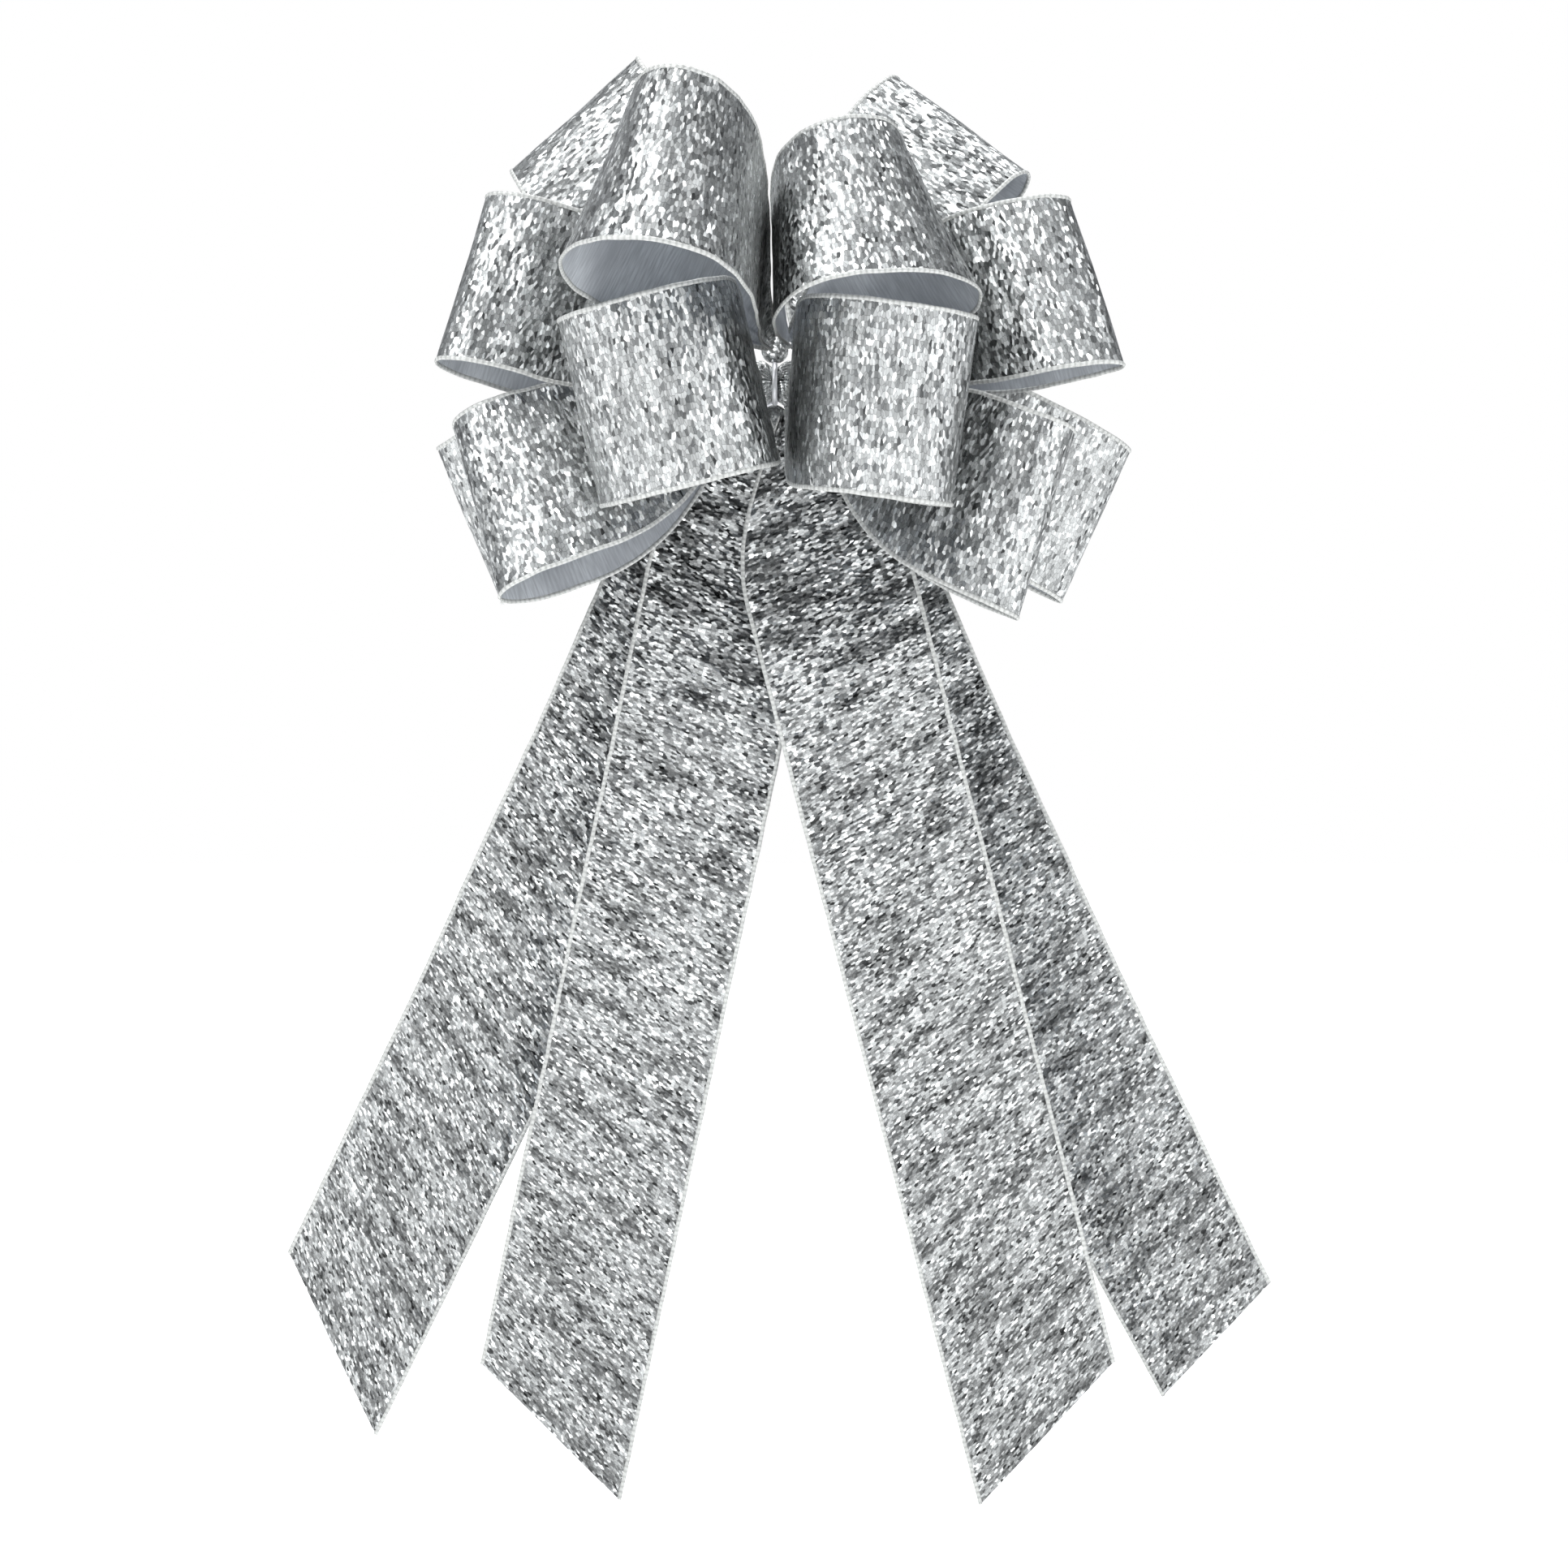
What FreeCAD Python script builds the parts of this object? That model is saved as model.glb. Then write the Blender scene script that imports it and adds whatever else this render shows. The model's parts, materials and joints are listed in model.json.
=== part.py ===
import FreeCAD, Part
import math
import os

# Pre-made gift bow of wired-edge metallic ribbon: twelve loops and four tails gathered
# at one centre and bound with a twist tie. Millimetres. The origin is the middle of the
# binding, +X is the viewer's right, +Z is up and the front of the bow faces -Y.

Vector = FreeCAD.Vector

# The ribbon
RIBBON_WIDTH = 63.5
WEB_THICKNESS = 0.5
EDGE_WIRE_RADIUS = 0.55
EDGE_WIRE_GAP = 0.15
PINCHED_HALF_WIDTH = 3.0

# The binding: two rounded lobes of gathered ribbon, grooved between them for the tie
LOBE_OFFSET = 6.0
LOBE_RADIUS = 9.0
ROOT_RADIUS = 12.0
ROOT_HALF_GAP = 1.0

# The twist tie: a coated wire round the waist, twisted behind, with two free legs
TIE_RADIUS = 1.0
TIE_BORE_RADIUS = 0.4
TIE_WIRE_RADIUS = 0.35
TIE_RING_RADIUS = 7.0
GROOVE_RADIUS = TIE_RADIUS + 0.4
RING_OPENING_DEGREES = 24.0
TWIST_RADIUS = TIE_RADIUS + 0.15
TWIST_START = 11.0
TWIST_LENGTH = 16.0
TWIST_TURNS = 2
TWIST_STATIONS_PER_TURN = 8
WAIST_STATIONS = 24
LEG_LENGTH = 60.0
LEG_GAP = 1.2
LEG_BACKWARD_DEGREES = 46.0
LEG_SPREAD_DEGREES = 8.0

# Stations along each ribbon, and how far short of its pinched end a loop stops
LOOP_STATIONS = 40
TAIL_STATIONS = 36
LOOP_START = 0.1
SMALL = 0.001

# Ruled lengths along each rod: two for every station of a ribbon
HEM_RULINGS_PER_STATION = 2
TIE_RULINGS = 160
NEARLY_PARALLEL = 0.9

# The loops. azimuth: the axis's angle from +X in the XZ plane; forward: its lean towards
# the viewer; roll: the ribbon's turn about the axis; length and thickness: the size;
# taper: the length over which the pinched ribbon opens to its full width; skew and
# flare: how much longer and fuller, per cent, the loop is at its upper hem; droop and
# lean: the far end's shift across the ribbon and towards the viewer; root: a shift of
# the pinched end.
LOOPS = {
    "loop_left_top_back": dict(
        azimuth=124, forward=-7, roll=9, length=114, thickness=25, taper=52, skew=2,
        flare=-6, droop=1, lean=2),
    "loop_left_middle": dict(
        azimuth=159, forward=17, roll=-8, length=102, thickness=26, taper=70, skew=2,
        flare=-4, droop=-9),
    "loop_left_low_front": dict(
        azimuth=219, forward=20, roll=-11, length=104, thickness=26, taper=68, skew=-15,
        flare=9, droop=22, lean=2),
    "loop_left_low_back": dict(
        azimuth=203, forward=-10, roll=7, length=111, thickness=20, taper=72, skew=-1,
        flare=-8, droop=-3, lean=1),
    "loop_left_centre_upper": dict(
        azimuth=135, forward=61.5, roll=-36, length=130, thickness=48, taper=106.5,
        skew=-0.5, flare=-24, droop=-12, lean=8.5, root=(9, 1, 8.5)),
    "loop_left_centre_lower": dict(
        azimuth=198, forward=61.5, roll=8, length=81, thickness=58.5, taper=51, skew=5,
        flare=-3.5, droop=-5, lean=-9, root=(6, -5, -2.5)),
    "loop_right_top_back": dict(
        azimuth=66, forward=-9, roll=-13, length=108, thickness=25, taper=54, skew=10,
        flare=3, droop=-19, lean=-2),
    "loop_right_middle": dict(
        azimuth=23, forward=20, roll=-9, length=105, thickness=22, taper=74, skew=2,
        flare=4, droop=-17, lean=1),
    "loop_right_low_front": dict(
        azimuth=-42, forward=21, roll=10, length=101, thickness=26, taper=70, skew=-14,
        flare=4, droop=17),
    "loop_right_low_back": dict(
        azimuth=-20, forward=-11, roll=2, length=117, thickness=20, taper=64, skew=2,
        flare=8, droop=-7, lean=2),
    "loop_right_centre_upper": dict(
        azimuth=49, forward=59.5, roll=-40.5, length=91.5, thickness=56, taper=71, skew=-1,
        flare=-25.5, droop=-4, lean=-1.5, root=(-5.5, 4.5, 9.5)),
    "loop_right_centre_lower": dict(
        azimuth=-20, forward=64.5, roll=15, length=87, thickness=50, taper=55.5, skew=-2.5,
        flare=7.5, droop=-1.5, lean=-12, root=(-6.5, -1.5, -7.5)),
}

# The tails. length: to the middle of the cut end; cut: how much longer the right hem is
# than that; back: the depth it falls back by within the settle length; end_back: the
# further depth by its end; twist: its turn by the end; ripple: the height of its waves.
TAILS = {
    "tail_left_front": dict(
        azimuth=-102, length=391, cut=20, taper=64, back=12, settle=60, end_back=5,
        root=(-4, 1.5, -12)),
    "tail_right_front": dict(
        azimuth=-75.5, length=393, cut=-20, taper=64, back=5, settle=60, end_back=9,
        root=(4, -3, -12)),
    "tail_left_back": dict(
        azimuth=-113.5, length=391, cut=26, taper=78, back=26, settle=40, droop=-10,
        root=(-7, 9, -11)),
    "tail_right_back": dict(
        azimuth=-67.5, length=393, cut=-17, taper=78, back=33, settle=42, droop=17,
        twist=-25, root=(7, 12, -11)),
}
RIPPLE_HEIGHT = 1.5
RIPPLE_LENGTH = 110.0
RIPPLE_ONSET = 90.0


def opened_half_width(distance, taper):
    """Half the ribbon's width at a distance from its pinched end."""
    share = math.sin(math.pi / 2 * min(1.0, distance / taper))
    return PINCHED_HALF_WIDTH + (RIBBON_WIDTH / 2 - PINCHED_HALF_WIDTH) * share


def in_plane(azimuth):
    """The unit vector at an azimuth in the XZ plane."""
    angle = math.radians(azimuth)
    return Vector(math.cos(angle), 0, math.sin(angle))


def turned(first, second, degrees):
    """Two square unit vectors after a turn of the first towards the second."""
    angle = math.radians(degrees)
    return (first * math.cos(angle) + second * math.sin(angle),
            second * math.cos(angle) - first * math.sin(angle))


def loop_surface(spec):
    """The middle surface of a loop, as a function of station and place across it."""
    side = -1 if in_plane(spec["azimuth"]).x < 0 else 1
    along, outward = turned(in_plane(spec["azimuth"]), Vector(0, -1, 0), spec["forward"])
    across, outward = turned(in_plane(spec["azimuth"] + side * 90), outward, spec["roll"])
    root = Vector(side * LOBE_OFFSET, 0, 0) + along * ROOT_RADIUS
    root = root + Vector(*spec.get("root", (0, 0, 0)))
    full = 1 / (math.sin(math.pi / 3) ** 3 * math.cos(math.pi / 3) * 2)

    def point(station, place):
        angle = LOOP_START + station * (math.pi - 2 * LOOP_START)
        reach = math.sin(angle) ** 2
        opening = ROOT_HALF_GAP + full * spec["thickness"] * math.sin(angle) ** 3
        distance = spec["length"] * reach
        width = opened_half_width(distance, spec["taper"]) * place
        skewed = distance * (1 + spec.get("skew", 0) * place / 100)
        depth = math.cos(angle) * opening * (1 + spec.get("flare", 0) * place / 100)
        return (root + along * skewed
                + across * (width + spec.get("droop", 0) * reach ** 2)
                + outward * (depth + spec.get("lean", 0) * reach ** 2))

    def half_width(station):
        angle = LOOP_START + station * (math.pi - 2 * LOOP_START)
        return opened_half_width(spec["length"] * math.sin(angle) ** 2, spec["taper"])

    return point, half_width


def tail_surface(spec):
    """The middle surface of a tail, as a function of station and place across it."""
    along = in_plane(spec["azimuth"])
    across = in_plane(spec["azimuth"] + 90)
    root = Vector(*spec["root"])

    def point(station, place):
        distance = station * (spec["length"] + spec["cut"] * place)
        share = distance / spec["length"]
        twist = math.radians(spec.get("twist", 0)) * share ** 2
        width = opened_half_width(distance, spec["taper"]) * place
        settled = 1 - math.exp(-(distance / spec["settle"]) ** 2)
        ripple = RIPPLE_HEIGHT * min(1.0, distance / RIPPLE_ONSET)
        depth = (spec["back"] * settled + spec.get("end_back", 0) * share ** 2
                 + ripple * math.sin(2 * math.pi * distance / RIPPLE_LENGTH))
        return (root + along * distance
                + across * (width * math.cos(twist) + spec.get("droop", 0) * share ** 2)
                + Vector(0, depth + width * math.sin(twist), 0))

    def half_width(station):
        return opened_half_width(station * spec["length"], spec["taper"])

    return point, half_width


def square_to(point, station, place):
    """The unit vector square to a ribbon's surface."""
    low = max(0.0, station - SMALL)
    high = min(1.0, station + SMALL)
    lengthwise = point(high, place) - point(low, place)
    crosswise = point(station, place + SMALL) - point(station, place - SMALL)
    return lengthwise.cross(crosswise).normalize()


def hem_slant(point, station, place):
    """How many times wider than square-on a gap beside a hem measures across it."""
    low = max(0.0, station - SMALL)
    high = min(1.0, station + SMALL)
    lengthwise = (point(high, place) - point(low, place)).normalize()
    crosswise = (point(station, SMALL) - point(station, -SMALL)).normalize()
    return 1 / math.sqrt(1 - min(0.9, lengthwise.dot(crosswise) ** 2))


def smooth_edge(points):
    """A smooth edge through evenly spaced stations."""
    curve = Part.BSplineCurve()
    curve.interpolate(Points=points, Parameters=[float(i) for i in range(len(points))])
    return curve.toShape()


def ribbon_web(point, half_width, stations):
    """The woven ribbon between its two edge wires, as one thin solid."""
    corners = {}
    for side in (-1, 1):
        for face in (-1, 1):
            corners[side, face] = []
    for index in range(stations + 1):
        station = index / stations
        half = half_width(station)
        for side in (-1, 1):
            slant = hem_slant(point, station, side)
            wire = half - EDGE_WIRE_RADIUS * slant
            place = side * (wire - (EDGE_WIRE_RADIUS + EDGE_WIRE_GAP) * slant) / half
            middle = point(station, place)
            lift = square_to(point, station, place) * (WEB_THICKNESS / 2)
            for face in (-1, 1):
                corners[side, face].append(middle + lift * face)
    ring = [corners[-1, -1], corners[1, -1], corners[1, 1], corners[-1, 1]]
    edges = [smooth_edge(points) for points in ring]
    faces = [Part.makeRuledSurface(edges[i], edges[(i + 1) % 4]) for i in range(4)]
    for end in (0, -1):
        first = Part.makeLine(ring[0][end], ring[1][end])
        second = Part.makeLine(ring[3][end], ring[2][end])
        faces.append(Part.makeRuledSurface(first, second))
    shell = Part.makeShell(faces)
    shell.sewShape()
    return forward_solid(shell)


def forward_solid(shell):
    """A closed shell as a solid whose volume is positive."""
    solid = Part.makeSolid(shell)
    if solid.Volume < 0:
        solid.reverse()
    return solid


def rod(path, radius, rulings):
    """A round rod along an edge, ruled between rings that don't turn about it."""
    first, last = path.ParameterRange
    tangent = path.tangentAt(first)
    helper = Vector(1, 0, 0)
    if abs(tangent.x) > NEARLY_PARALLEL:
        helper = Vector(0, 0, 1)
    reference = tangent.cross(helper)
    rings = []
    for index in range(rulings + 1):
        at = first + (last - first) * index / rulings
        tangent = path.tangentAt(at)
        reference = (reference - tangent * reference.dot(tangent)).normalize()
        ring = Part.Circle(path.valueAt(at), tangent, radius)
        ring.XAxis = reference
        rings.append(Part.Wire(ring.toShape()))
    return Part.makeLoft(rings, True, True)


def edge_wires(point, half_width, stations):
    """The two thread-covered wires, one along each hem."""
    rods = []
    for side in (-1, 1):
        points = []
        for index in range(stations + 1):
            station = index / stations
            half = half_width(station)
            inset = EDGE_WIRE_RADIUS * hem_slant(point, station, side)
            points.append(point(station, side * (half - inset) / half))
        rulings = stations * HEM_RULINGS_PER_STATION
        rods.append(rod(smooth_edge(points), EDGE_WIRE_RADIUS, rulings))
    return Part.makeCompound(rods)


def gathered_core():
    """The gathered middles of all the ribbons, grooved for the tie."""
    left = Part.makeSphere(LOBE_RADIUS, Vector(-LOBE_OFFSET, 0, 0))
    right = Part.makeSphere(LOBE_RADIUS, Vector(LOBE_OFFSET, 0, 0))
    groove = Part.makeTorus(TIE_RING_RADIUS, GROOVE_RADIUS, Vector(), Vector(1, 0, 0))
    return left.fuse(right).cut(groove)


def twist_point(turn, phase):
    """A point of one twisted strand, some turns from its start."""
    angle = 2 * math.pi * turn + phase
    return Vector(TWIST_RADIUS * math.sin(angle),
                  TWIST_START + TWIST_LENGTH * turn / TWIST_TURNS,
                  TWIST_RADIUS * math.cos(angle))


def tie_path():
    """The tie's middle line: one strand in, round the waist and the other strand out."""
    count = TWIST_TURNS * TWIST_STATIONS_PER_TURN
    turns = [index / TWIST_STATIONS_PER_TURN for index in range(count + 1)]
    points = [twist_point(turn, 0) for turn in reversed(turns)]
    for index in range(WAIST_STATIONS + 1):
        share = index / WAIST_STATIONS
        degrees = RING_OPENING_DEGREES + share * (360 - 2 * RING_OPENING_DEGREES)
        angle = math.radians(degrees)
        points.append(Vector(0, math.cos(angle), math.sin(angle)) * TIE_RING_RADIUS)
    points = points + [twist_point(turn, math.pi) for turn in turns]
    curve = Part.BSplineCurve()
    curve.interpolate(Points=points)
    return curve.toShape()


def coated(path, rulings):
    """A length of the tie: its plastic coat, and the steel wire inside it."""
    coat = rod(path, TIE_RADIUS, rulings).cut(rod(path, TIE_BORE_RADIUS, rulings))
    return coat, rod(path, TIE_WIRE_RADIUS, rulings)


def leg_path(side):
    """The middle line of one free leg, starting just past the end of its strand."""
    spread = math.radians(LEG_SPREAD_DEGREES)
    backward = math.radians(LEG_BACKWARD_DEGREES)
    direction = Vector(side * math.cos(backward) * math.cos(spread),
                       math.sin(backward) * math.cos(spread), side * math.sin(spread))
    phase = 0 if side > 0 else math.pi
    start = twist_point(TWIST_TURNS, phase) + direction * LEG_GAP
    return Part.makeLine(start, start + direction * LEG_LENGTH)


def export(shape, name):
    shape.exportStep(os.path.join("parts", name + ".step"))


def export_ribbon(name, surface, stations):
    point, half_width = surface
    export(ribbon_web(point, half_width, stations), name)
    export(edge_wires(point, half_width, stations), name + "_edge_wires")


def export_tie(name, path, rulings):
    coat, wire = coated(path, rulings)
    export(coat, name + "_coat")
    export(wire, name + "_wire")


os.makedirs("parts", exist_ok=True)
for name, spec in LOOPS.items():
    export_ribbon(name, loop_surface(spec), LOOP_STATIONS)
for name, spec in TAILS.items():
    export_ribbon(name, tail_surface(spec), TAIL_STATIONS)
export(gathered_core(), "gathered_core")
export_tie("tie_waist", tie_path(), TIE_RULINGS)
export_tie("tie_leg_left", leg_path(-1), 1)
export_tie("tie_leg_right", leg_path(1), 1)
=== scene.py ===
"""Looks for the pre-made gift bow: woven silver ribbons with overlocked hems, the pleated
bundle at their middle and the twist tie behind it. Metres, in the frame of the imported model.
Every ribbon is rebuilt on the hem lines of its own CAD solid, so no ribbon's shape is kept
here."""

import bmesh
import bpy
import json
import math
import numpy as np
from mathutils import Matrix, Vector, noise


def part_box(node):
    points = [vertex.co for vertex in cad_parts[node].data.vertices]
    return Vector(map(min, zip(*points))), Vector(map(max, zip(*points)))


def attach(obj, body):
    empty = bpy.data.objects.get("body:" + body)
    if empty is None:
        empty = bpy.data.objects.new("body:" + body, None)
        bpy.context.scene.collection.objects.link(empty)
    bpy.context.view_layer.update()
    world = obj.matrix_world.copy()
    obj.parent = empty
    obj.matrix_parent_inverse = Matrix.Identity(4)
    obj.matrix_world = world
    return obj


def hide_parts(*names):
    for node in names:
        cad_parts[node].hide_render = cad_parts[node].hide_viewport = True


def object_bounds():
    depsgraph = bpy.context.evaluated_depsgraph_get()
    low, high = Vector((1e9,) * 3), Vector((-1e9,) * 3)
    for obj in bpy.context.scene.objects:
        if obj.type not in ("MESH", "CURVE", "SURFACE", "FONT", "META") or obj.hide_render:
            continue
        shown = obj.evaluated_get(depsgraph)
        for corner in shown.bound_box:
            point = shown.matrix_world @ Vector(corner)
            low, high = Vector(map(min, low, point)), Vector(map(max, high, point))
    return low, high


MM = 0.001

# The ribbon's cloth. HEM_REACH is how far the middle of the hem lies past the CAD web.
ROW_STEP = 1.5 * MM
COLUMNS = 41
CLOTH_THICKNESS = 0.35 * MM
HEM_REACH = 0.7 * MM
HEM_HALF_WIDTH = 0.8 * MM
HEM_HALF_THICKNESS = 0.55 * MM
HEM_SIDES = 10
SMOOTHING_PASSES = 4
SHARP_DEGREES = 50

# Pleats run out from the pinched ends; the crinkle is the cloth's own unevenness
LOOP_PLEAT_HEIGHT = 0.5 * MM
TAIL_PLEAT_HEIGHT = 0.9 * MM
PLEATS = 3.5
CRINKLES = (
    # height, length along the ribbon, length across it
    (0.3 * MM, 26 * MM, 45 * MM),
    (0.22 * MM, 8 * MM, 26 * MM),
)
HEM_WAVER = 0.25 * MM
HEM_WAVER_LENGTH = 9 * MM

# How far apart the two hems of a ribbon lie in the noise that makes them waver
HEM_NOISE_STEP = 7.3

# The woven metallic flakes of the loops and of the tails: their size along and across the
# ribbon, how far each tilts, how far the cloth's own unevenness tilts them, how dark the painted
# shade of that unevenness goes, and their tones, partly the flakes' own uneven tone and partly
# painted glints on the brightest flakes
LOOP_FLAKES = dict(length=0.95 * MM, width=2.0 * MM, tilt=0.3, unevenness=0.3, uneven_shade=0.75,
                   tones_and_glints=((0.0, 0.1), (0.06, 0.34), (0.6, 0.45), (0.85, 0.55), (1.0, 0.9)))
TAIL_FLAKES = dict(length=0.8 * MM, width=1.7 * MM, tilt=0.55, unevenness=0.5, uneven_shade=0.52,
                   tones_and_glints=((0.0, 0.04), (0.12, 0.2), (0.5, 0.36), (0.85, 0.5), (1.0, 0.95)))
# The size along and across of the cloth's unevenness, which tilts the flakes and paints shade in
# bands
UNEVEN_SHADE_LENGTH = 8 * MM
UNEVEN_SHADE_WIDTH = 30 * MM

# The silver's tint, as shares of red, green and blue
SILVER = (0.97, 1.0, 1.0)

# The bundle of pinched ribbons at the middle. The waist, the pleats' depth and the inset
# are shares of its radius; the drift is how far, in radians, its pleats wander.
BUNDLE_ROWS = 49
BUNDLE_SIDES = 144
BUNDLE_WAIST = 0.68
BUNDLE_GROOVE_LENGTH = 3.0 * MM
BUNDLE_PLEATS = 17
BUNDLE_PLEAT_DEPTH = 0.1
BUNDLE_INSET = 0.03
BUNDLE_DRIFT = 0.35
BUNDLE_DRIFT_SCALE = 120

# Crushed folds that bulge from the bundle past the tie, above and below: middle and radii
BUNDLE_FOLDS = (
    ((0, 3.0 * MM, 13.0 * MM), (5.0 * MM, 3.0 * MM, 4.8 * MM)),
    ((0, 5.5 * MM, -10.6 * MM), (4.6 * MM, 2.0 * MM, 4.0 * MM)),
)
FOLD_ROWS = 25
FOLD_CREASES = 9
FOLD_CREASE_TWIST = 2

# The camera's place from the middle of the binding. Its lens and sensor are in millimetres.
CAMERA_PLACE = (3.4 * MM, -725 * MM, -148.2 * MM)
CAMERA_LENS = 44.9
SENSOR_WIDTH = 36.0

# The studio: its dark and pale panels, as the metal sees them, and their brightness
DARK_PANEL = (0.16, 0.17, 0.18, 1)
PALE_PANEL = (0.85, 0.87, 0.9, 1)
STUDIO_STRENGTH = 0.75

# The soft lights: name, place, the point they face, size (metres) and power (watts)
LIGHTS = (
    ("key", (-0.9, -1.1, 0.9), (0, 0, -0.1), 0.8, 22),
    ("fill", (1.2, -1.0, 0.3), (0, 0, -0.1), 0.9, 10),
    ("top", (0, 0.1, 1.4), (0, 0, 0), 1.0, 18),
)

# The floor's width, in metres, and how far below the tails it lies
FLOOR_WIDTH = 12
FLOOR_GAP = 2 * MM


# ---------------------------------------------------------------- the shape of a ribbon


def islands(mesh):
    """The connected parts of a mesh as lists of faces, the largest area first."""
    found = []
    seen = set()
    for first in mesh.faces:
        if first in seen:
            continue
        seen.add(first)
        part = []
        waiting = [first]
        while waiting:
            face = waiting.pop()
            part.append(face)
            for edge in face.edges:
                for other in edge.link_faces:
                    if other not in seen:
                        seen.add(other)
                        waiting.append(other)
        found.append(part)
    found.sort(key=lambda part: -sum(face.calc_area() for face in part))
    return found


def outline(part):
    """The points round the edge of a part of a mesh, in order."""
    members = set(part)
    following = {}
    for face in part:
        for loop in face.loops:
            inside = [f for f in loop.edge.link_faces if f in members]
            if len(inside) == 1:
                following[loop.vert] = loop.link_loop_next.vert
    start = next(iter(following))
    points = [start]
    while following[points[-1]] is not start:
        points.append(following[points[-1]])
    return np.array([vert.co for vert in points])


def turning(points):
    """How sharply a closed outline turns at each of its points."""
    before = points - np.roll(points, 1, axis=0)
    after = np.roll(points, -1, axis=0) - points
    before /= np.linalg.norm(before, axis=1)[:, None]
    after /= np.linalg.norm(after, axis=1)[:, None]
    return np.arccos(np.clip((before * after).sum(1), -1, 1))


def long_sides(points):
    """The two long sides of an outline with four corners, both from the same end."""
    corners = sorted(np.argsort(turning(points))[-4:])
    sides = []
    for first, last in zip(corners, corners[1:] + [corners[0] + len(points)]):
        sides.append(points[np.arange(first, last + 1) % len(points)])
    sides.sort(key=lambda side: -path_lengths(side)[-1])
    one, other = sides[:2]
    if np.linalg.norm(one[0] - other[0]) > np.linalg.norm(one[0] - other[-1]):
        other = other[::-1]
    return [one, other]


def path_lengths(points):
    """The length along a line of points up to each point."""
    steps = np.linalg.norm(np.diff(points, axis=0), axis=1)
    return np.concatenate([[0], np.cumsum(steps)])


def resampled(points, rows):
    """Evenly spaced points on a smooth curve through a line of points."""
    lengths = path_lengths(points)
    slopes = np.gradient(points, lengths, axis=0)
    places = np.linspace(0, lengths[-1], rows)
    spans = np.clip(np.searchsorted(lengths, places) - 1, 0, len(lengths) - 2)
    span = (lengths[spans + 1] - lengths[spans])[:, None]
    share = (places[:, None] - lengths[spans][:, None]) / span
    start, end = points[spans], points[spans + 1]
    start_slope, end_slope = slopes[spans] * span, slopes[spans + 1] * span
    return (start * (1 + 2 * share) * (1 - share) ** 2 + start_slope * share * (1 - share) ** 2
            + end * share ** 2 * (3 - 2 * share) - end_slope * share ** 2 * (1 - share))


def smoothed(points):
    """A line of points with its small kinks eased and its ends kept."""
    for _ in range(SMOOTHING_PASSES):
        inner = (points[:-2] + 2 * points[1:-1] + points[2:]) / 4
        points = np.concatenate([points[:1], inner, points[-1:]])
    return points


def hem_lines(node):
    """The two hem lines of a ribbon's CAD web, as arrays of evenly matched points."""
    mesh = bmesh.new()
    mesh.from_mesh(node.data)
    faces = [long_sides(outline(part)) for part in islands(mesh)[:2]]
    mesh.free()
    (one, other), (back_one, back_other) = faces
    to_back_one = np.linalg.norm(one.mean(0) - back_one.mean(0))
    if to_back_one > np.linalg.norm(one.mean(0) - back_other.mean(0)):
        back_one, back_other = back_other, back_one
    if np.linalg.norm(one[0] - back_one[0]) > np.linalg.norm(one[0] - back_one[-1]):
        back_one, back_other = back_one[::-1], back_other[::-1]
    length = max(path_lengths(one)[-1], path_lengths(other)[-1])
    rows = int(length / ROW_STEP) + 1
    lines = []
    for front, back in ((one, back_one), (other, back_other)):
        lines.append(smoothed((resampled(front, rows) + resampled(back, rows)) / 2))
    if np.linalg.norm(lines[0][0]) > np.linalg.norm(lines[0][-1]) + HEM_REACH:
        lines = [line[::-1] for line in lines]
    return lines


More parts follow.
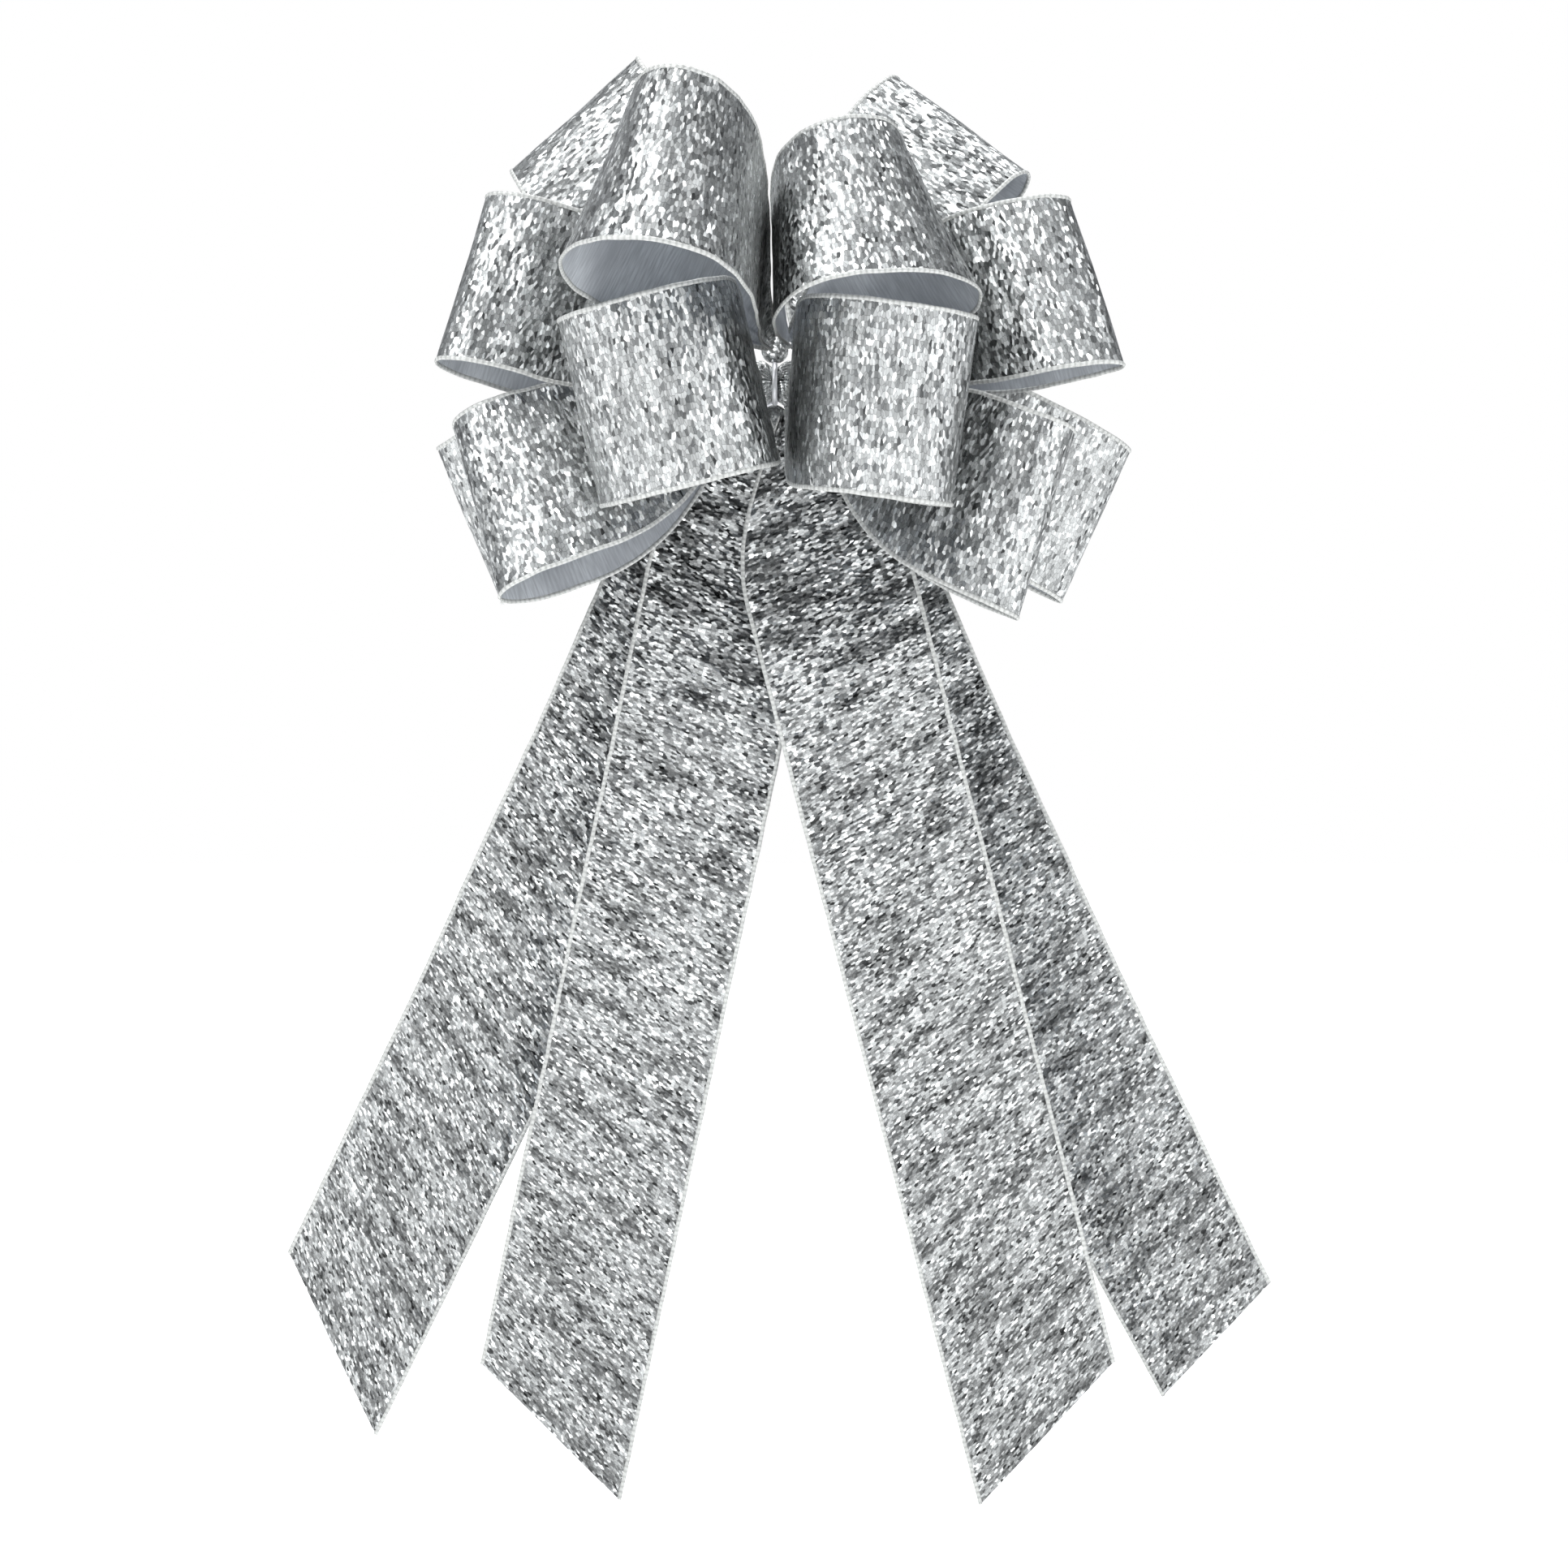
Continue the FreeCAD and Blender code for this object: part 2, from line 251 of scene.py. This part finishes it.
class Ribbon:
    """A ribbon's middle surface as rows of points, with its lengths and normals."""

    def __init__(self, node):
        self.name = node.name
        self.is_loop = node.name.startswith("loop")
        self.seed = sum(ord(letter) for letter in node.name)
        left, right = hem_lines(node)
        across = right - left
        self.widths = np.linalg.norm(across, axis=1)
        reach = across / self.widths[:, None] * HEM_REACH
        self.widths = self.widths + 2 * HEM_REACH
        self.places = np.linspace(-1, 1, COLUMNS)
        shares = (self.places[None, :, None] + 1) / 2
        self.points = (left - reach)[:, None] * (1 - shares) + (right + reach)[:, None] * shares
        self.along = path_lengths(self.points[:, COLUMNS // 2])
        self.turn_outwards()
        self.add_relief()

    def normals(self):
        """The unit vector square to the surface at each point."""
        rows, columns = np.gradient(self.points, axis=(0, 1))
        square = np.cross(rows, columns)
        return square / np.linalg.norm(square, axis=2)[:, :, None]

    def turn_outwards(self):
        """Orders the columns so that the normals leave the metallic face of the ribbon."""
        quarter = len(self.points) // 4
        normal = self.normals()[quarter, COLUMNS // 2]
        outward = np.array([0, -1, 0])
        if self.is_loop:
            outward = self.points[quarter, COLUMNS // 2] - self.points[-quarter, COLUMNS // 2]
        if normal @ outward < 0:
            self.points = self.points[:, ::-1]

    def openness(self):
        """How open each row is, from 0 at a pinched end to 1 at full width."""
        narrow, wide = self.widths.min(), self.widths.max()
        return (self.widths - narrow) / (wide - narrow)

    def add_relief(self):
        """Adds the pleats of the pinched ends, the crinkle and the wavering hems."""
        pinched = (1 - self.openness())[:, None]
        height = LOOP_PLEAT_HEIGHT if self.is_loop else TAIL_PLEAT_HEIGHT
        pleats = height * pinched * np.cos(PLEATS * math.pi * self.places[None] + self.seed)
        rise = pleats + sum(self.crinkle(*crinkle) for crinkle in CRINKLES)
        self.points = self.points + self.normals() * rise[:, :, None]
        across = self.points[:, -1] - self.points[:, 0]
        across /= np.linalg.norm(across, axis=1)[:, None]
        for column in (0, -1):
            for row, distance in enumerate(self.along):
                place = Vector((distance / HEM_WAVER_LENGTH, column * HEM_NOISE_STEP, self.seed))
                self.points[row, column] += across[row] * HEM_WAVER * noise.noise(place)

    def crinkle(self, height, length, breadth):
        rise = np.empty(self.points.shape[:2])
        for row, distance in enumerate(self.along):
            for column, place in enumerate(self.places):
                across = place * self.widths[row] / 2
                where = Vector((distance / length, across / breadth, self.seed + height / MM))
                rise[row, column] = height * noise.noise(where) * 2
        return rise


# ---------------------------------------------------------------- making pieces


def new_piece(name, points, faces, texture_places, materials, which):
    """A smooth mesh object. texture_places are UVs by point; which is a material by face."""
    mesh = bpy.data.meshes.new(name)
    mesh.from_pydata([tuple(point) for point in points], [], faces)
    layer = mesh.uv_layers.new(name="ribbon")
    corners = np.empty(len(mesh.loops), np.int32)
    mesh.loops.foreach_get("vertex_index", corners)
    layer.data.foreach_set("uv", texture_places[corners].astype(np.float32).ravel())
    for material in materials:
        mesh.materials.append(material)
    mesh.polygons.foreach_set("material_index", np.array(which, np.int32))
    mesh.polygons.foreach_set("use_smooth", np.ones(len(faces), bool))
    mesh.set_sharp_from_angle(angle=math.radians(SHARP_DEGREES))
    mesh.update()
    piece = bpy.data.objects.new(name, mesh)
    bpy.context.scene.collection.objects.link(piece)
    return piece


def grid_faces(rows, columns, start=0, flipped=False):
    """The four-cornered faces of a grid of points."""
    faces = []
    for row in range(rows - 1):
        for column in range(columns - 1):
            first = start + row * columns + column
            face = (first, first + 1, first + columns + 1, first + columns)
            faces.append(face[::-1] if flipped else face)
    return faces


def cloth_piece(ribbon, face_material, back_material):
    """The ribbon's cloth: metallic on the outside, plain satin on the inside."""
    rows, columns = ribbon.points.shape[:2]
    lift = ribbon.normals() * CLOTH_THICKNESS / 2
    outside = (ribbon.points + lift).reshape(-1, 3)
    inside = (ribbon.points - lift).reshape(-1, 3)
    across = ribbon.places[None] * ribbon.widths[:, None] / 2
    along = np.repeat(ribbon.along[:, None], columns, axis=1)
    places = np.stack([along, across], axis=2).reshape(-1, 2)
    count = rows * columns
    faces = grid_faces(rows, columns, flipped=True) + grid_faces(rows, columns, count)
    which = [0] * (len(faces) // 2) + [1] * (len(faces) // 2)
    rim = list(range(columns))
    rim += [row * columns + columns - 1 for row in range(1, rows)]
    rim += [(rows - 1) * columns + column for column in range(columns - 2, -1, -1)]
    rim += [row * columns for row in range(rows - 2, 0, -1)]
    for first, second in zip(rim, rim[1:] + rim[:1]):
        faces.append((first, second, second + count, first + count))
        which.append(0)
    points = np.concatenate([outside, inside])
    places = np.concatenate([places, places])
    materials = [face_material, back_material]
    return new_piece(ribbon.name + "_cloth", points, faces, places, materials, which)


def hem_piece(ribbon, material):
    """The two overlocked hems, each a flattened tube along one edge of the cloth."""
    points, faces, places = [], [], []
    rows = len(ribbon.points)
    normals = ribbon.normals()
    angles = np.linspace(0, 2 * math.pi, HEM_SIDES + 1)
    for column in (0, -1):
        line = ribbon.points[:, column]
        normal = normals[:, column]
        along = np.gradient(line, axis=0)
        along /= np.linalg.norm(along, axis=1)[:, None]
        across = np.cross(along, normal)
        ring = (across[:, None] * (np.cos(angles) * HEM_HALF_WIDTH)[None, :, None]
                + normal[:, None] * (np.sin(angles) * HEM_HALF_THICKNESS)[None, :, None])
        tube = line[:, None] + ring
        start = len(points)
        points.extend(tube[:, :-1].reshape(-1, 3))
        lengths = path_lengths(line)
        for distance in lengths:
            places.extend((distance, angle) for angle in angles[:-1] * HEM_HALF_WIDTH)
        for row in range(rows - 1):
            for side in range(HEM_SIDES):
                other = (side + 1) % HEM_SIDES
                here = start + row * HEM_SIDES
                faces.append((here + side, here + other,
                              here + HEM_SIDES + other, here + HEM_SIDES + side))
        faces.append(tuple(start + side for side in reversed(range(HEM_SIDES))))
        last = start + (rows - 1) * HEM_SIDES
        faces.append(tuple(last + side for side in range(HEM_SIDES)))
    return new_piece(ribbon.name + "_hems", np.array(points), faces, np.array(places),
                     [material], [0] * len(faces))


# ---------------------------------------------------------------- materials


class Shader:
    """A new material's node tree, with short ways to add and join its nodes."""

    def __init__(self, name):
        self.material = bpy.data.materials.new(name)
        self.material.use_nodes = True
        self.tree = self.material.node_tree
        self.surface = self.tree.nodes["Principled BSDF"]

    def node(self, kind, inputs=None, **settings):
        made = self.tree.nodes.new("ShaderNode" + kind)
        for key, value in settings.items():
            setattr(made, key, value)
        for key, value in (inputs or {}).items():
            self.give(made.inputs[key], value)
        return made

    def give(self, socket, value):
        if isinstance(value, bpy.types.NodeSocket):
            self.tree.links.new(value, socket)
        else:
            socket.default_value = value

    def math(self, operation, first, second=0.0, clamp=False):
        made = self.node("Math", {0: first, 1: second}, operation=operation, use_clamp=clamp)
        return made.outputs[0]

    def ramp(self, factor, stops, interpolation="LINEAR"):
        """A colour ramp. stops are (place, grey) or (place, (r, g, b))."""
        made = self.node("ValToRGB", {"Fac": factor})
        made.color_ramp.interpolation = interpolation
        elements = made.color_ramp.elements
        while len(elements) < len(stops):
            elements.new(0.5)
        for element, (place, colour) in zip(elements, stops):
            element.position = place
            if not isinstance(colour, tuple):
                colour = (colour, colour, colour)
            element.color = (*colour, 1)
        return made.outputs["Color"]

    def mix(self, factor, first, second, blend="MIX"):
        made = self.node("Mix", data_type="RGBA", blend_type=blend)
        for key, value in (("Factor", factor), ("A", first), ("B", second)):
            sockets = [s for s in made.inputs if s.name == key and s.enabled]
            self.give(sockets[0], value)
        return [s for s in made.outputs if s.enabled][0]

    def ribbon_places(self, length, width):
        """The place on the ribbon in units of a length along it and a width across it."""
        place = self.node("UVMap", uv_map="ribbon").outputs["UV"]
        mapping = self.node("Mapping", {"Vector": place})
        mapping.inputs["Scale"].default_value = (1 / length, 1 / width, 1)
        return mapping.outputs["Vector"]


def metallic_weave(name, flakes):
    """Silver flakes of lurex thread: each one tilts and shines in its own way. Their colour
    holds painted glints on the brightest flakes and painted shade in bands where the cloth's
    unevenness tilts them.
    """
    shader = Shader(name)
    places = shader.ribbon_places(flakes["length"], flakes["width"])
    cells = shader.node("TexVoronoi", {"Vector": places, "Scale": 1.0, "Randomness": 0.85},
                        voronoi_dimensions="2D")
    gaps = shader.node("TexVoronoi", {"Vector": places, "Scale": 1.0, "Randomness": 0.85},
                       voronoi_dimensions="2D", feature="DISTANCE_TO_EDGE")
    own = shader.node("SeparateColor", {"Color": cells.outputs["Color"]})
    uneven_shade = shader.node("TexNoise", {
        "Vector": shader.ribbon_places(UNEVEN_SHADE_LENGTH, UNEVEN_SHADE_WIDTH),
        "Scale": 1.0, "Detail": 3.0, "Roughness": 0.6}, noise_dimensions="2D")
    shared = shader.node("SeparateColor", {"Color": uneven_shade.outputs["Color"]})

    def tilt(channel):
        flake = shader.math("SUBTRACT", own.outputs[channel], 0.5)
        cloth = shader.math("SUBTRACT", shared.outputs[channel], 0.5)
        flake = shader.math("MULTIPLY", flake, flakes["tilt"])
        cloth = shader.math("MULTIPLY", cloth, flakes["unevenness"])
        return shader.math("ADD", shader.math("ADD", flake, cloth), 0.5)

    tilts = shader.node("CombineColor", {"Red": tilt("Red"), "Green": tilt("Green"),
                                         "Blue": 1.0})
    normal = shader.node("NormalMap", {"Color": tilts.outputs[0]}, uv_map="ribbon")
    # Each flake's own uneven tone, with painted glints on the brightest flakes
    tone_and_glint = shader.ramp(own.outputs["Blue"], flakes["tones_and_glints"])
    thread = shader.ramp(gaps.outputs["Distance"], ((0.0, 0.42), (0.09, 1.0)))
    # Painted shade: bands of the cloth darkened where its unevenness tilts the flakes one way
    band_shade = shader.ramp(uneven_shade.outputs["Fac"], ((0.4, flakes["uneven_shade"]), (0.52, 1.0)))
    colour = shader.mix(1.0, tone_and_glint, thread, "MULTIPLY")
    colour = shader.mix(1.0, colour, band_shade, "MULTIPLY")
    colour = shader.mix(1.0, colour, (*SILVER, 1), "MULTIPLY")
    rough = shader.math("MULTIPLY", own.outputs["Red"], 0.25)
    shader.give(shader.surface.inputs["Base Color"], colour)
    shader.give(shader.surface.inputs["Metallic"], 1.0)
    shader.give(shader.surface.inputs["Roughness"], shader.math("ADD", rough, 0.25))
    shader.give(shader.surface.inputs["Normal"], normal.outputs["Normal"])
    return shader.material


def satin_back():
    """The plain grey film behind the weave, with the ghost of its threads. Its colour is partly
    the film's own thread lines and partly painted faint sheen in broad patches.
    """
    shader = Shader("satin_back")
    threads = shader.node("TexNoise", {"Vector": shader.ribbon_places(0.8 * MM, 9 * MM),
                                       "Scale": 1.0, "Detail": 2.0}, noise_dimensions="2D")
    sheen_patches = shader.node("TexNoise", {"Vector": shader.ribbon_places(18 * MM, 30 * MM),
                                      "Scale": 1.0, "Detail": 2.0}, noise_dimensions="2D")
    # Painted faint sheen: the broad patches brighten the grey, over the film's own thread lines
    tone = shader.math("MULTIPLY", sheen_patches.outputs["Fac"], threads.outputs["Fac"])
    colour = shader.ramp(tone, ((0.1, (0.4, 0.42, 0.45)), (0.45, (0.64, 0.67, 0.7))))
    bump = shader.node("Bump", {"Height": threads.outputs["Fac"], "Strength": 0.25,
                                "Distance": 0.1 * MM})
    shader.give(shader.surface.inputs["Base Color"], colour)
    shader.give(shader.surface.inputs["Metallic"], 0.35)
    shader.give(shader.surface.inputs["Roughness"], 0.42)
    shader.give(shader.surface.inputs["Normal"], bump.outputs["Normal"])
    return shader.material


def overlocked_thread():
    """The beige-grey thread wound round the hem, with a rib at every turn."""
    shader = Shader("overlocked_thread")
    places = shader.ribbon_places(1.0 * MM, 1.0 * MM)
    ribs = shader.node("TexWave", {"Vector": places, "Scale": 0.16, "Distortion": 1.2,
                                   "Detail": 1.0}, wave_type="BANDS", bands_direction="X")
    glints = shader.node("TexVoronoi", {"Vector": places, "Scale": 1.2},
                         voronoi_dimensions="2D")
    tone = shader.ramp(ribs.outputs["Fac"], ((0.0, (0.36, 0.37, 0.36)),
                                             (0.6, (0.5, 0.51, 0.5))))
    spark = shader.node("SeparateColor", {"Color": glints.outputs["Color"]})
    light = shader.ramp(spark.outputs["Red"], ((0.0, 0.84), (0.8, 1.0)))
    bump = shader.node("Bump", {"Height": ribs.outputs["Fac"], "Strength": 0.45,
                                "Distance": 0.2 * MM})
    shader.give(shader.surface.inputs["Base Color"], shader.mix(1.0, tone, light, "MULTIPLY"))
    shader.give(shader.surface.inputs["Metallic"], 0.25)
    shader.give(shader.surface.inputs["Roughness"], 0.5)
    shader.give(shader.surface.inputs["Normal"], bump.outputs["Normal"])
    return shader.material


def tie_coat():
    """The twist tie's silver-grey plastic, drawn over its wire."""
    shader = Shader("tie_coat")
    place = shader.node("TexCoord").outputs["Object"]
    grain = shader.node("TexNoise", {"Vector": place, "Scale": 900.0, "Detail": 3.0})
    scuffs = shader.node("TexNoise", {"Vector": place, "Scale": 120.0, "Detail": 2.0})
    colour = shader.ramp(scuffs.outputs["Fac"], ((0.3, (0.5, 0.51, 0.53)),
                                                 (0.7, (0.66, 0.67, 0.69))))
    rough = shader.ramp(grain.outputs["Fac"], ((0.3, 0.3), (0.7, 0.5)))
    bump = shader.node("Bump", {"Height": grain.outputs["Fac"], "Strength": 0.2,
                                "Distance": 0.1 * MM})
    shader.give(shader.surface.inputs["Base Color"], colour)
    shader.give(shader.surface.inputs["Metallic"], 0.6)
    shader.give(shader.surface.inputs["Roughness"], rough)
    shader.give(shader.surface.inputs["Normal"], bump.outputs["Normal"])
    return shader.material


def drawn_steel():
    """The tie's bare wire, with fine drawing marks."""
    shader = Shader("drawn_steel")
    place = shader.node("TexCoord").outputs["Object"]
    marks = shader.node("TexNoise", {"Vector": place, "Scale": 1500.0, "Detail": 2.0})
    rough = shader.ramp(marks.outputs["Fac"], ((0.3, 0.25), (0.7, 0.45)))
    shader.give(shader.surface.inputs["Base Color"], (0.55, 0.56, 0.58, 1))
    shader.give(shader.surface.inputs["Metallic"], 1.0)
    shader.give(shader.surface.inputs["Roughness"], rough)
    return shader.material


# ---------------------------------------------------------------- the bundle


def tube_faces(rows, sides, start):
    """The faces round a tube of points, one ring of sides a row."""
    faces = []
    for row in range(rows - 1):
        for side in range(sides):
            other = (side + 1) % sides
            here = start + row * sides
            faces.append((here + side, here + sides + side,
                          here + sides + other, here + other))
    return faces


def bundle_rings(low, high):
    """The points of the grooved knot of pleats, ring by ring along the X axis."""
    lobe = (high.z - low.z) / 2
    offset = high.x - lobe
    waist = lobe * BUNDLE_WAIST
    points = []
    for row in range(BUNDLE_ROWS):
        x = low.x + (high.x - low.x) * row / (BUNDLE_ROWS - 1)
        from_lobe = min(abs(x - offset), abs(x + offset)) if abs(x) > offset else 0
        radius = math.sqrt(max(0, lobe ** 2 - from_lobe ** 2))
        groove = math.exp(-(x / BUNDLE_GROOVE_LENGTH) ** 2)
        radius = radius * (1 - groove) + waist * groove
        for side in range(BUNDLE_SIDES):
            angle = 2 * math.pi * side / BUNDLE_SIDES
            across, up = math.cos(angle), math.sin(angle)
            drift = BUNDLE_DRIFT * noise.noise(Vector((x * BUNDLE_DRIFT_SCALE, across, up)))
            wave = math.sin(BUNDLE_PLEATS * (angle + drift))
            fold = 1 - BUNDLE_PLEAT_DEPTH * (1 - abs(wave)) - BUNDLE_INSET
            points.append((x, radius * fold * across, radius * fold * up))
    return points


def fold_rings(middle, radii):
    """The points of a creased bulge of cloth, ring by ring along the X axis."""
    points = []
    for row in range(FOLD_ROWS):
        tilt = math.pi * row / (FOLD_ROWS - 1)
        for side in range(BUNDLE_SIDES):
            angle = 2 * math.pi * side / BUNDLE_SIDES
            crease = abs(math.sin(FOLD_CREASES * angle / 2 + FOLD_CREASE_TWIST * math.cos(tilt)))
            ring = math.sin(tilt) * (1 - BUNDLE_PLEAT_DEPTH * (1 - crease))
            points.append((middle[0] - radii[0] * math.cos(tilt),
                           middle[1] + radii[1] * ring * math.cos(angle),
                           middle[2] + radii[2] * ring * math.sin(angle)))
    return points


def bundle_piece(node, material):
    """The pinched middles of all the ribbons: a grooved knot, and the folds it pushes out."""
    points = bundle_rings(*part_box(node))
    faces = tube_faces(BUNDLE_ROWS, BUNDLE_SIDES, 0)
    for middle, radii in BUNDLE_FOLDS:
        faces += tube_faces(FOLD_ROWS, BUNDLE_SIDES, len(points))
        points += fold_rings(middle, radii)
    places = [(x, math.hypot(y, z) * math.atan2(z, y)) for x, y, z in points]
    return new_piece("gathered_pleats", np.array(points), faces, np.array(places),
                     [material], [0] * len(faces))


# ---------------------------------------------------------------- the scene


def white_studio():
    """A world that is white to the camera and a soft-lit studio to the metal."""
    world = bpy.data.worlds.new("studio")
    bpy.context.scene.world = world
    world.use_nodes = True
    tree = world.node_tree
    tree.nodes.clear()
    make = tree.nodes.new
    join = tree.links.new
    path = make("ShaderNodeLightPath")
    place = make("ShaderNodeTexCoord")
    bands = make("ShaderNodeTexNoise")
    bands.inputs["Scale"].default_value = 2.2
    bands.inputs["Detail"].default_value = 1.0
    ramp = make("ShaderNodeValToRGB")
    ramp.color_ramp.elements[0].position = 0.42
    ramp.color_ramp.elements[0].color = DARK_PANEL
    ramp.color_ramp.elements[1].position = 0.58
    ramp.color_ramp.elements[1].color = PALE_PANEL
    studio = make("ShaderNodeBackground")
    studio.inputs["Strength"].default_value = STUDIO_STRENGTH
    white = make("ShaderNodeBackground")
    white.inputs["Color"].default_value = (1, 1, 1, 1)
    mix = make("ShaderNodeMixShader")
    out = make("ShaderNodeOutputWorld")
    join(place.outputs["Generated"], bands.inputs["Vector"])
    join(bands.outputs["Fac"], ramp.inputs["Fac"])
    join(ramp.outputs["Color"], studio.inputs["Color"])
    join(path.outputs["Is Camera Ray"], mix.inputs["Fac"])
    join(studio.outputs[0], mix.inputs[1])
    join(white.outputs[0], mix.inputs[2])
    join(mix.outputs[0], out.inputs["Surface"])


def soft_light(name, place, aim, size, power):
    """A square area light that faces the point aim."""
    light = bpy.data.lights.new(name, "AREA")
    light.energy = power
    light.size = size
    lamp = bpy.data.objects.new(name, light)
    lamp.location = place
    lamp.rotation_euler = (Vector(aim) - Vector(place)).to_track_quat("-Z", "Y").to_euler()
    bpy.context.scene.collection.objects.link(lamp)


def camera():
    """The scene's camera, level and facing +Y."""
    lens = bpy.data.cameras.new("camera")
    lens.lens = CAMERA_LENS
    lens.sensor_width = SENSOR_WIDTH
    viewer = bpy.data.objects.new("camera", lens)
    viewer.location = CAMERA_PLACE
    viewer.rotation_euler = (math.pi / 2, 0, 0)
    bpy.context.scene.collection.objects.link(viewer)
    bpy.context.scene.camera = viewer


def floor(level):
    """A plain white floor, just under the tails."""
    bpy.ops.mesh.primitive_plane_add(size=FLOOR_WIDTH, location=(0, 0, level))
    plane = bpy.context.object
    plane.name = "floor"
    shader = Shader("floor_white")
    shader.give(shader.surface.inputs["Base Color"], (0.9, 0.9, 0.9, 1))
    shader.give(shader.surface.inputs["Roughness"], 0.8)
    shader.give(shader.surface.inputs["Emission Color"], (1, 1, 1, 1))
    shader.give(shader.surface.inputs["Emission Strength"], 0.92)
    plane.data.materials.append(shader.material)


# ---------------------------------------------------------------- building it


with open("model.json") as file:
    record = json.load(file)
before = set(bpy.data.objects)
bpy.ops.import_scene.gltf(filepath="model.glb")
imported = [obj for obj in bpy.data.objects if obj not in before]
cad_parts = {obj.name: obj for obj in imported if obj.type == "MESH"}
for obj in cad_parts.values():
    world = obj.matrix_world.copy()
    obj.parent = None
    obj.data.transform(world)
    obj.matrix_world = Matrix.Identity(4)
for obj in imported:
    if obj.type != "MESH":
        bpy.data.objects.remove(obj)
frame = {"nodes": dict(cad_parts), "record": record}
cad_box = [list(corner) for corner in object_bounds()]
record = frame["record"]
body_of = {}
for body, members in record["behaviour"]["bodies"].items():
    for member in members:
        body_of[member] = body
slots = {part["node"]: part["material_slot"] for part in record["subparts"]}

loop_weave = metallic_weave("loop_weave", LOOP_FLAKES)
tail_weave = metallic_weave("tail_weave", TAIL_FLAKES)
satin = satin_back()
thread = overlocked_thread()
coat = tie_coat()
steel = drawn_steel()

for node in sorted(slots):
    if slots[node] == "ribbon":
        ribbon = Ribbon(frame["nodes"][node])
        cloth = cloth_piece(ribbon, loop_weave if ribbon.is_loop else tail_weave, satin)
        hems = hem_piece(ribbon, thread)
        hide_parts(node)
        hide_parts(node + "_edge_wires")
        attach(cloth, body_of[node])
        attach(hems, body_of[node])
    elif slots[node] == "gathered_ribbon":
        bundle = bundle_piece(node, loop_weave)
        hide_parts(node)
        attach(bundle, body_of[node])
    elif slots[node] in ("tie_coat", "tie_wire"):
        shown = frame["nodes"][node].data
        shown.materials.clear()
        shown.materials.append(coat if slots[node] == "tie_coat" else steel)

white_studio()
for light in LIGHTS:
    soft_light(*light)
camera()
floor(cad_box[0][2] - FLOOR_GAP)
bpy.context.scene.view_settings.view_transform = "Standard"
